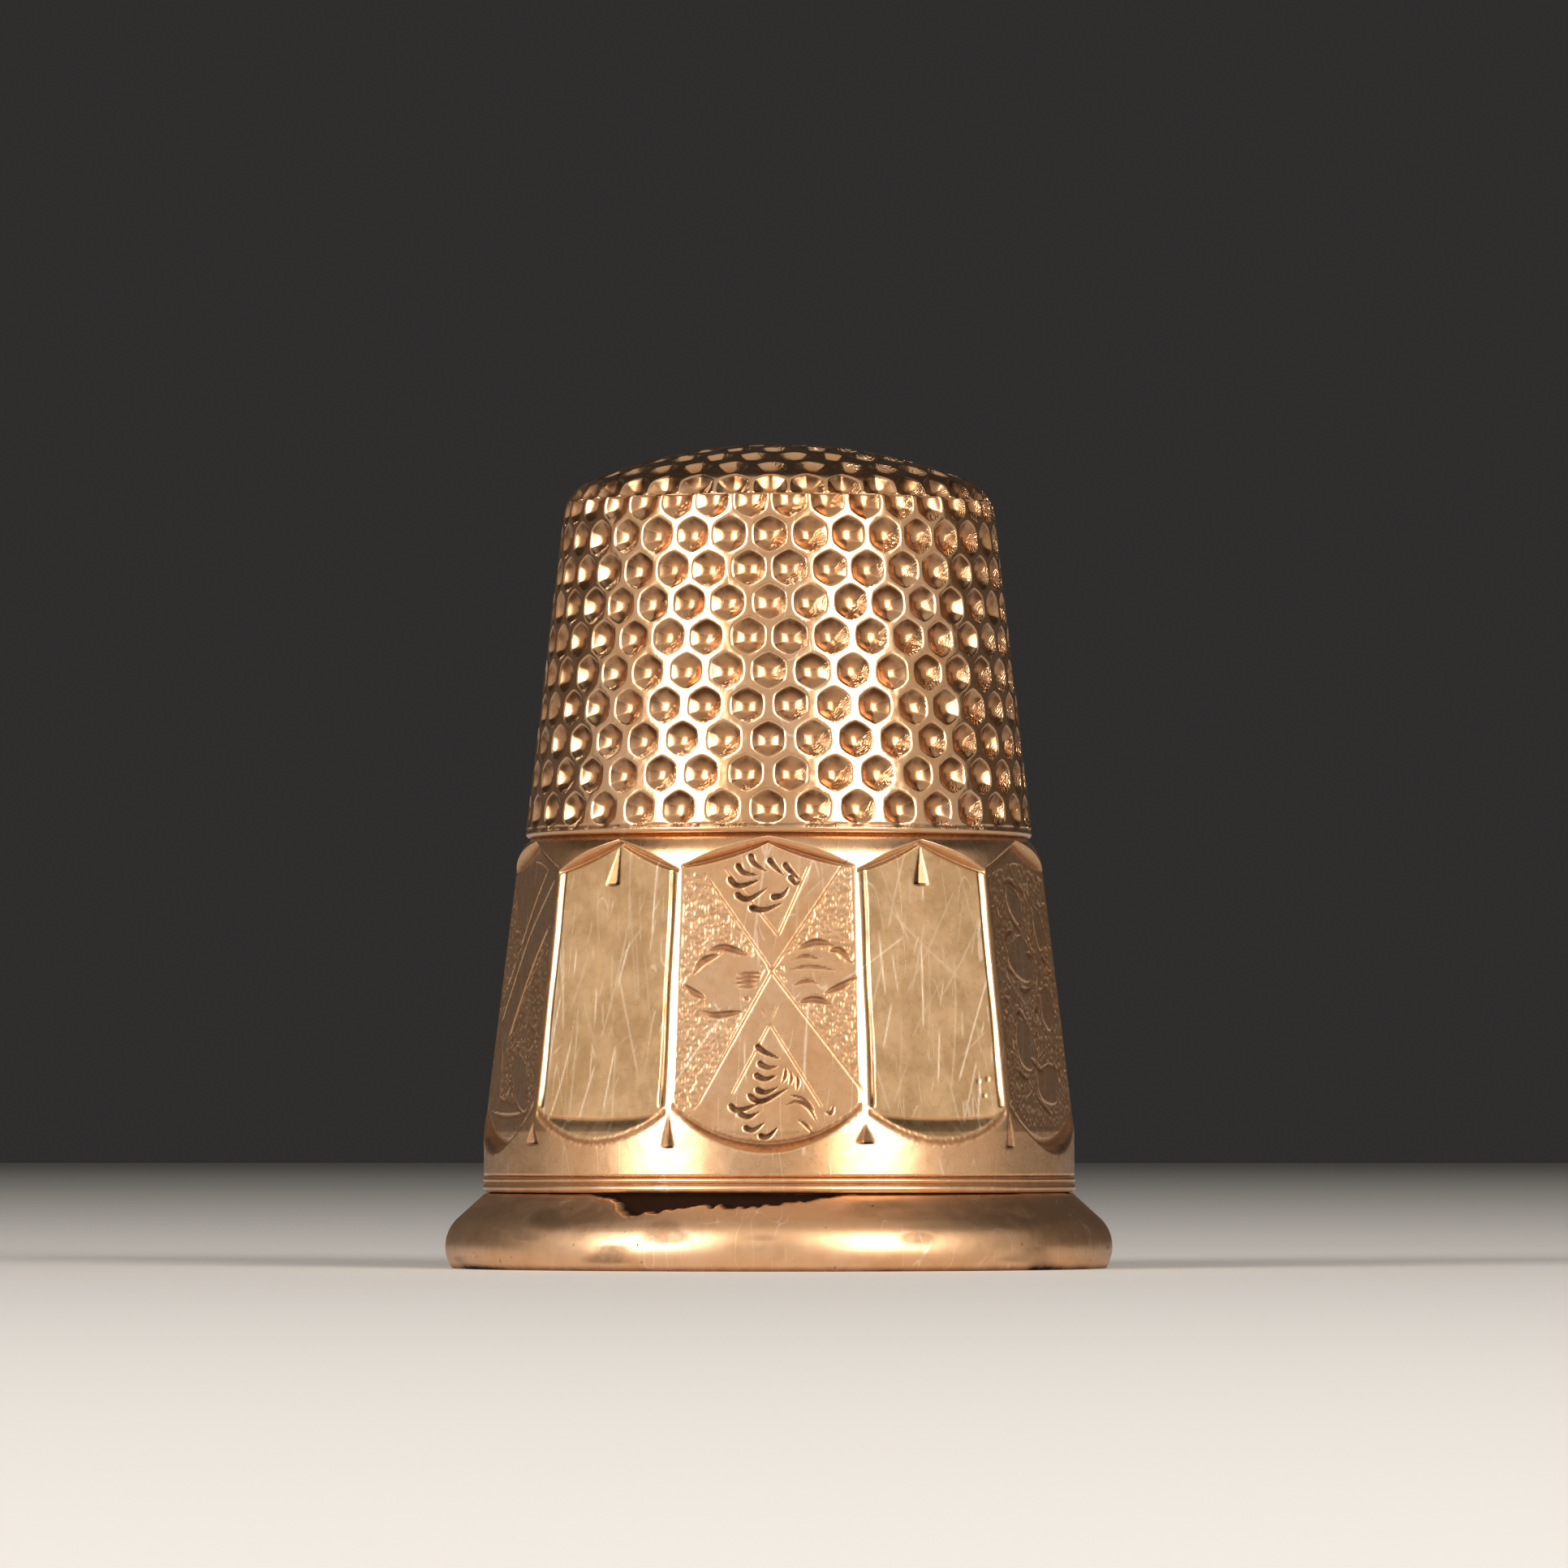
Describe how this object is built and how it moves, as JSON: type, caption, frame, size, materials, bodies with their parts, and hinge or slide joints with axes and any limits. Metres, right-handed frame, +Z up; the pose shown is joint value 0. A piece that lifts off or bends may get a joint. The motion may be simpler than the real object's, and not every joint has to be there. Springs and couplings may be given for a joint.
{
  "type": "thimble",
  "caption": "Tapered metal sewing thimble with a dimpled crown and wall, a band of flat panels, a reeded foot wire and a rolled hollow rim.",
  "frame": {"origin": "on the axis, in the plane that the rim stands on", "axes": "+Z up the axis towards the crown, -Y out of the middle of one wide panel"},
  "size_m": [0.017, 0.017, 0.0211],
  "materials": {
    "dimpled_gold": "worn gold, bright on the lands between dimples, brown tarnish inside them",
    "band_gold": "polished gold with fine scratches and hand engraving",
    "rim_gold": "worn gold with scratches and dark seams"
  },
  "bodies": {
    "root": {"crown_cap": "dimpled_gold", "knurled_wall": "dimpled_gold", "panel_band": "band_gold", "foot_wire": "rim_gold", "rim_bead": "rim_gold"}
  },
  "joints": []
}
